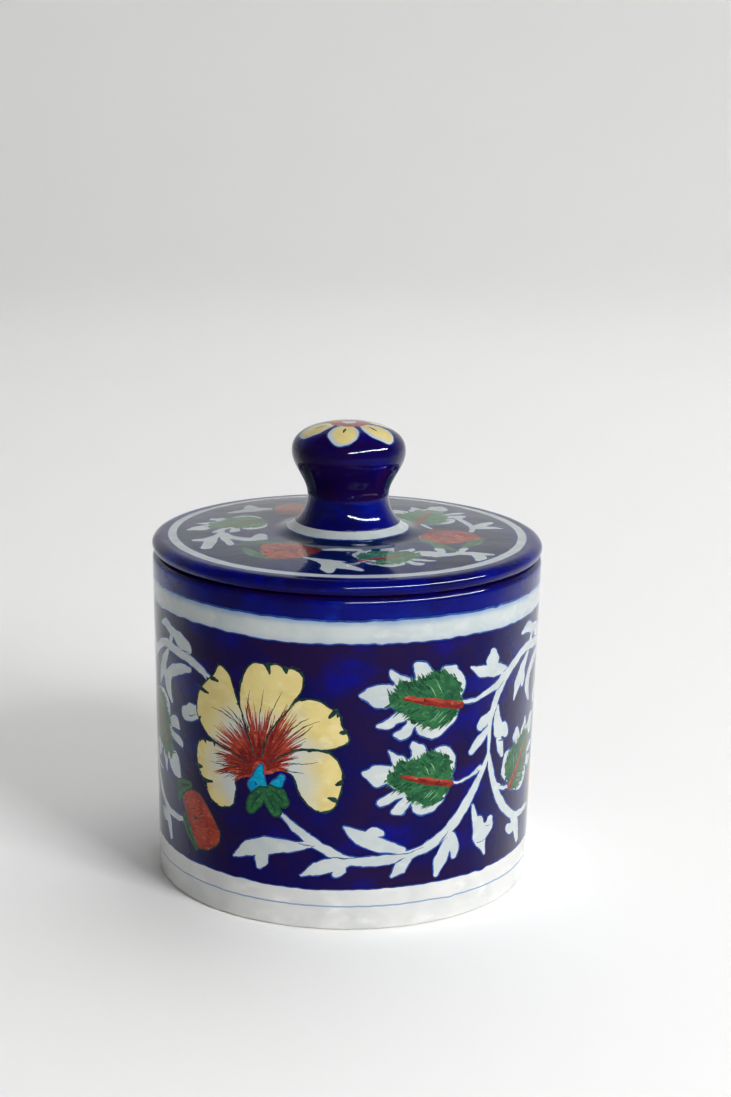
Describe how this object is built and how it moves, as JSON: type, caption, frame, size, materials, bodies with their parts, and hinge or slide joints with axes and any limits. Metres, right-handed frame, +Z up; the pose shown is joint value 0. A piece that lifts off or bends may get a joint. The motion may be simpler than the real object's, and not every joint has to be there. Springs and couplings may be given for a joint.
{
  "type": "lidded ceramic spice jar",
  "caption": "Round ceramic spice jar with a flat lid, mushroom knob and hand-painted floral glaze; the lid lifts off.",
  "frame": {"origin": "centre of the jar's resting face, on the surface that it stands on", "axes": "+Z up along the jar's axis, towards the knob; -Y is the painted front"},
  "size_m": [0.1, 0.1, 0.1177],
  "materials": {
    "painted_glaze": "gloss",
    "pale_glaze": "gloss",
    "bare_paste": "matte"
  },
  "bodies": {
    "jar": {"jar_wall": "painted_glaze", "jar_base": "pale_glaze"},
    "lid": {"lid_disc": "painted_glaze", "lid_locating_ring": "bare_paste", "lid_knob": "painted_glaze"}
  },
  "joints": [
    {"name": "lid_lift", "type": "slide", "parent": "jar", "child": "lid", "axis": [0, 0, 1], "range_m": [0, 0.06]}
  ]
}
